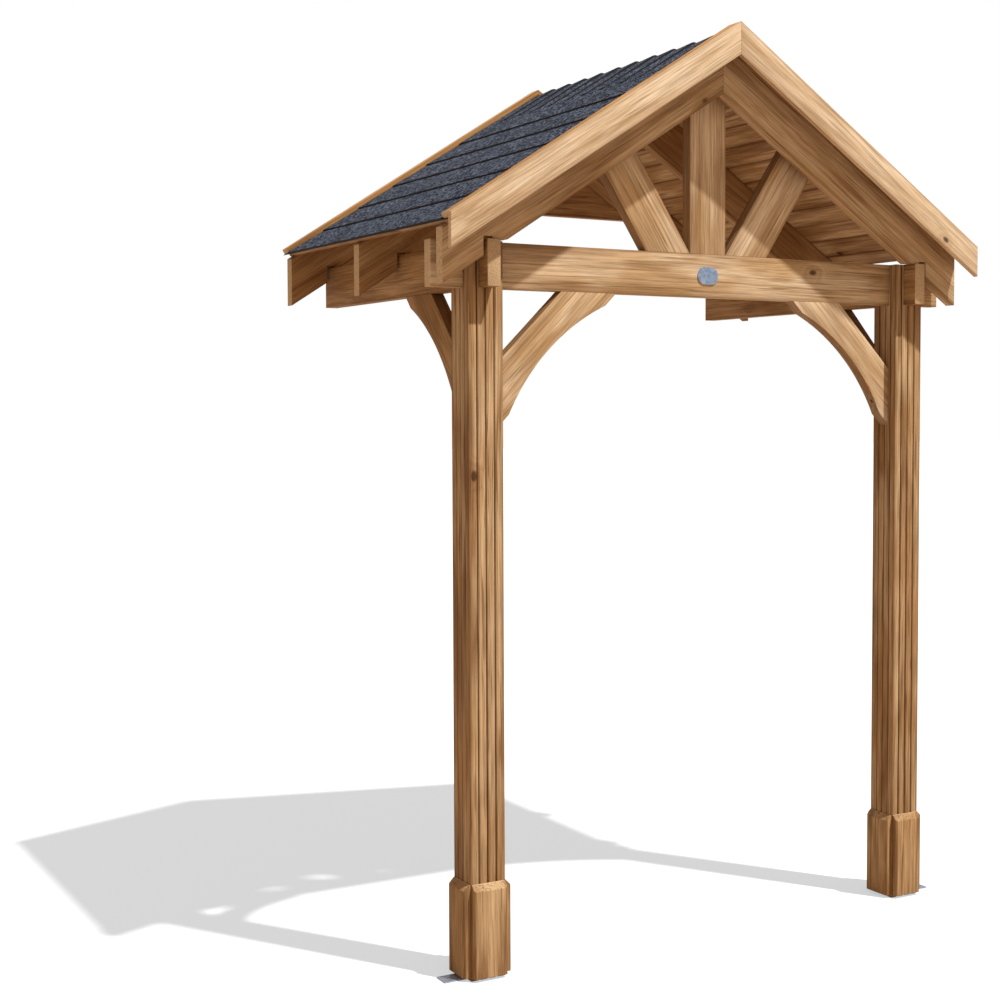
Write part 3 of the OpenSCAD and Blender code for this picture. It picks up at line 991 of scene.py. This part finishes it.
class PORCH_OT_shingles(bpy.types.Operator):
    """Felt, and the courses of granule shingles on it"""

    bl_idname = "porch.shingles"
    bl_label = "Felt and Shingles"

    def execute(self, context):
        s = context.scene.porch_roof
        for number, (side, hand) in enumerate(SIDES):
            felt = copy_of(f"felt_{hand}", f"felt_{hand}_sheet")
            ease_edges(felt, 0.5 * MM, 1)
            finish_piece(felt, finish("bitumen_felt"), "felt", f"felt_{hand}")
            strips = self.strips(s, random.Random(SEED + 7 * number))
            piece = joined(f"shingle_courses_{hand}", strips)
            lay_on_slope(piece, side < 0)
            smooth(piece, math.radians(25))
            finish_piece(piece, None, "shingle", f"shingles_{hand}")
        return {"FINISHED"}

    def strips(self, s, draw):
        """All strips of one slope, drawn flat; the joints of each course miss those of the next."""
        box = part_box("shingles_right")
        front, back = box[0].y, box[1].y
        top_end, _, base, _ = slope_range("shingles_right")
        butt = base + s.strip_butt
        edges = course_edges()
        made = []
        for count, low in enumerate(edges):
            high = edges[count + 1] if count + 1 < len(edges) else top_end
            joints = [front]
            joint = front + s.strip * (0.33 + 0.34 * (count % 2))
            while joint < back - 0.1:
                joints.append(joint)
                joint += s.strip
            joints.append(back)
            for start, stop in zip(joints, joints[1:]):
                made.append(self.strip(s, draw, high, low, start, stop, base, butt, base + s.strip_thin))
        return made

    def strip(self, s, draw, high, low, start, stop, base, butt, thin):
        """One strip: a wedge, thick at its lower edge, which strays a little."""
        gap = s.strip_gap / 2
        piece = block("strip", (high + gap, start + gap, base), (low, stop - gap, butt))
        mesh = edit(piece, "VERT")
        pick(piece, mesh.verts, lambda v: v.co.x < high + 2 * gap and v.co.z > base + NEAR)
        bpy.ops.transform.translate(value=(0, 0, thin - butt))
        bpy.ops.mesh.select_mode(type="EDGE")
        pick(piece, mesh.edges, lambda e: abs(e.verts[0].co.y - e.verts[1].co.y) > 2 * gap)
        bpy.ops.mesh.subdivide(number_cuts=max(2, round((stop - start) / WAVE)))
        bpy.ops.mesh.select_mode(type="VERT")
        far = 5  # more than any depth, so that places count up from 0
        drift = [draw.uniform(-1, 1) for _ in range(200)]
        for v in mesh.verts:
            if v.co.x > low - 2 * gap and v.co.z > base + NEAR:
                stray = drift[int((v.co.y + far) / WAVE) % len(drift)] * s.strip_wave
                v.co.x += stray - s.strip_wave
        bmesh.update_edit_mesh(piece.data)
        bpy.ops.mesh.select_mode(type="EDGE")
        at_butt = lambda v: v.co.x > low - 2 * gap and v.co.z > butt - 2 * MM
        pick(piece, mesh.edges, lambda e: all(map(at_butt, e.verts)))
        bpy.ops.mesh.bevel(offset=0.9 * MM, segments=2, affect="EDGES")
        close()
        granules_above(piece, 0.5)
        return piece


class PORCH_OT_ridge(bpy.types.Operator):
    """Folded ridge tiles, each lapped over by the next"""

    bl_idname = "porch.ridge"
    bl_label = "Ridge Tiles"

    def execute(self, context):
        s = context.scene.porch_roof
        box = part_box("ridge_cap")
        front, back = box[0].y, box[1].y
        starts = [-s.tile_rear]
        while starts[-1] > front:
            starts.append(max(front, starts[-1] - s.tile_step))
        tiles = []
        stops = [back] + starts[:-1]
        for start, stop in zip(starts, stops):
            tiles.append(self.tile(s, start, min(back, stop + s.tile_lap)))
        piece = joined("ridge_tiles", tiles)
        smooth(piece, math.radians(30))
        finish_piece(piece, None, "shingle", "ridge_cap")
        return {"FINISHED"}

    def tile(self, s, start, stop):
        """One tile: a sheet folded over the ridge, thin behind and thick at its front edge."""
        _, wing, under, _ = slope_range("ridge_cap")
        edge = RIDGE + DOWN * wing + OFF * under
        crest = RIDGE + UP * (under / math.cos(PITCH))
        middle = (0, (start + stop) / 2, edge.z)
        piece = added("tile", bpy.ops.mesh.primitive_plane_add, size=1, location=middle)
        piece.scale = (2 * edge.x, stop - start, 1)
        settle()
        edit(piece)
        bpy.ops.mesh.select_all(action="SELECT")
        bpy.ops.mesh.bisect(plane_co=(0, 0, 0), plane_no=(1, 0, 0))
        mesh = bmesh.from_edit_mesh(piece.data)
        pick(piece, mesh.edges, lambda e: all(abs(v.co.x) < NEAR for v in e.verts))
        bpy.ops.transform.translate(value=(0, 0, crest.z - edge.z))
        bpy.ops.mesh.bevel(offset=s.tile_fold, segments=6, affect="EDGES")
        face_out()
        close()
        if sum(face.normal.z for face in piece.data.polygons) < 0:
            edit(piece, "FACE")
            bpy.ops.mesh.select_all(action="SELECT")
            bpy.ops.mesh.flip_normals()
            close()
        only(piece)
        solid = piece.modifiers.new("thickness", "SOLIDIFY")
        solid.thickness = s.tile_thin
        solid.offset = 1
        bpy.ops.object.modifier_apply(modifier=solid.name)
        self.thicken(piece, start, s.tile_butt - s.tile_thin)
        granules_above(piece, 0.3)
        return piece

    def thicken(self, piece, start, rise):
        """Raises the top of a tile's front edge square off its wings."""
        mesh = edit(piece, "VERT")
        lifts = {}
        for v in mesh.verts:
            tops = [f.normal for f in v.link_faces if f.normal.z > 0.3]
            if tops and v.co.y < start + 1 * MM:
                lifts[v] = sum(tops, Vector()).normalized() * rise
        for v, lift in lifts.items():
            v.co += lift
        bmesh.update_edit_mesh(piece.data)
        close()


class PORCH_OT_brackets(bpy.types.Operator):
    """Galvanised brackets at the feet of the posts"""

    bl_idname = "porch.brackets"
    bl_label = "Foot Brackets"

    def execute(self, context):
        s = context.scene.porch_metal
        for side, hand in SIDES:
            node = f"foot_bracket_{hand}"
            low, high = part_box(node)
            heel = low.x if side > 0 else high.x
            piece = copy_of(node, f"{node}_steel")
            mesh = edit(piece)
            at_bend = lambda v: max(abs(v.co.x - heel), abs(v.co.z - low.z)) < NEAR
            pick(piece, mesh.edges, lambda e: all(map(at_bend, e.verts)))
            bpy.ops.mesh.bevel(offset=s.bend, segments=5, affect="EDGES")
            close()
            ease_edges(piece, 0.5 * MM, 1)
            smooth(piece)
            finish_piece(piece, finish("galvanised_steel"), "zinc_steel", node)
        return {"FINISHED"}


class PORCH_OT_badge(bpy.types.Operator):
    """Plain plate with well rounded corners, a raised rim and two pins"""

    bl_idname = "porch.badge"
    bl_label = "Badge"

    def execute(self, context):
        s = context.scene.porch_metal
        low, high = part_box("badge")
        size = high - low + Vector((s.badge_wide, 0, -s.badge_low))
        middle = (low + high) / 2
        plate = block("badge_plate", middle - size / 2, middle + size / 2)
        mesh = edit(plate)
        pick(plate, mesh.edges, lambda e: abs(e.verts[0].co.y - e.verts[1].co.y) > size.y / 2)
        bpy.ops.mesh.bevel(offset=0.45 * size.z, segments=12, affect="EDGES")
        close()
        mesh = edit(plate, "FACE")
        pick(plate, mesh.faces, lambda f: f.normal.y < -0.9)
        bpy.ops.mesh.inset(thickness=s.rim)
        bpy.ops.transform.translate(value=(0, s.field_deep, 0))
        bpy.ops.mesh.inset(thickness=s.field_edge)
        bpy.ops.transform.translate(value=(0, -s.field_rise, 0))
        close()
        ease_edges(plate, 0.4 * MM)
        parts = [plate]
        for side in (-1, 1):
            place = middle + Vector((side * (size.x / 2 - 3 * s.rim), 0, 0))
            pin = rod("pin", (place.x, high.y, place.z), (place.x, low.y, place.z), s.pin, 20)
            ease_edges(pin, 0.6 * MM)
            parts.append(pin)
        piece = joined("badge_plate", parts)
        smooth(piece)
        finish_piece(piece, finish("satin_plate"), "badge_metal", "badge")
        return {"FINISHED"}


# ---- panel and registration

PIECES = (
    PORCH_OT_posts,
    PORCH_OT_beams,
    PORCH_OT_braces,
    PORCH_OT_gable,
    PORCH_OT_rafters,
    PORCH_OT_shade_blocks,
    PORCH_OT_edges,
    PORCH_OT_roof_boards,
    PORCH_OT_shingles,
    PORCH_OT_ridge,
    PORCH_OT_brackets,
    PORCH_OT_badge,
)
SETTINGS = {
    "porch_timber": PorchTimberSettings,
    "porch_roof": PorchRoofSettings,
    "porch_metal": PorchMetalSettings,
    "porch_stage": PorchStageSettings,
}


class PORCH_PT_panel(bpy.types.Panel):
    """Lists the canopy's settings and operators"""

    bl_idname = "PORCH_PT_panel"
    bl_label = "Porch Canopy"
    bl_space_type = "VIEW_3D"
    bl_region_type = "UI"
    bl_category = "Porch Canopy"

    def draw(self, context):
        for key, group in SETTINGS.items():
            box = self.layout.box()
            box.label(text=key.replace("_", " ").title())
            for name in group.__annotations__:
                box.prop(getattr(context.scene, key), name)
        for operator in (PORCH_OT_stage, PORCH_OT_materials, *PIECES):
            self.layout.operator(operator.bl_idname)


CLASSES = (*SETTINGS.values(), PORCH_OT_stage, PORCH_OT_materials, *PIECES, PORCH_PT_panel)


def register():
    for item in CLASSES:
        bpy.utils.register_class(item)
    for key, group in SETTINGS.items():
        setattr(bpy.types.Scene, key, PointerProperty(type=group))


def unregister():
    for key in SETTINGS:
        delattr(bpy.types.Scene, key)
    for item in reversed(CLASSES):
        bpy.utils.unregister_class(item)


def main():
    register()
    bpy.ops.porch.stage()
    bpy.ops.porch.materials()
    bpy.ops.porch.posts()
    bpy.ops.porch.beams()
    bpy.ops.porch.braces()
    bpy.ops.porch.gable()
    bpy.ops.porch.rafters()
    bpy.ops.porch.packers()
    bpy.ops.porch.edges()
    bpy.ops.porch.roof_boards()
    bpy.ops.porch.shingles()
    bpy.ops.porch.ridge()
    bpy.ops.porch.brackets()
    bpy.ops.porch.badge()
    bpy.ops.object.select_all(action="DESELECT")


if __name__ == "__main__":
    main()
